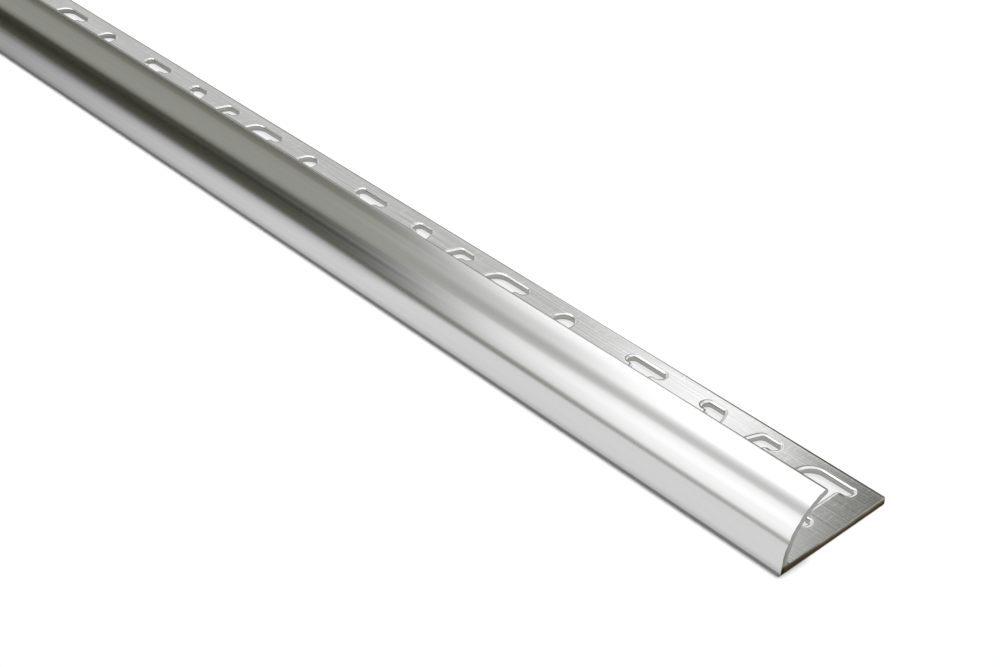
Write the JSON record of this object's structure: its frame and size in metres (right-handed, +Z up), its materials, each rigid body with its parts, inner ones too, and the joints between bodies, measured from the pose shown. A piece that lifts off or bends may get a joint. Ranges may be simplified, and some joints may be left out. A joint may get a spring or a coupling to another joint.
{
  "type": "tile edge trim",
  "caption": "Quarter round aluminium edge trim: a polished curved face above a flat leg that is punched with adhesive slots, sawn square at both ends.",
  "frame": {"origin": "middle of the underside, at half the length and half the width of the leg", "axes": "+X along the length towards the pictured sawn end, the curved face looks towards -Y, the punched leg reaches towards +Y, +Z up"},
  "size_m": [1, 0.0206, 0.01],
  "materials": {
    "aluminium": "bright polished on the curved face, mill finish with fine lengthwise lines on the leg"
  },
  "bodies": {
    "root": {"edge_trim": "aluminium"}
  },
  "joints": []
}
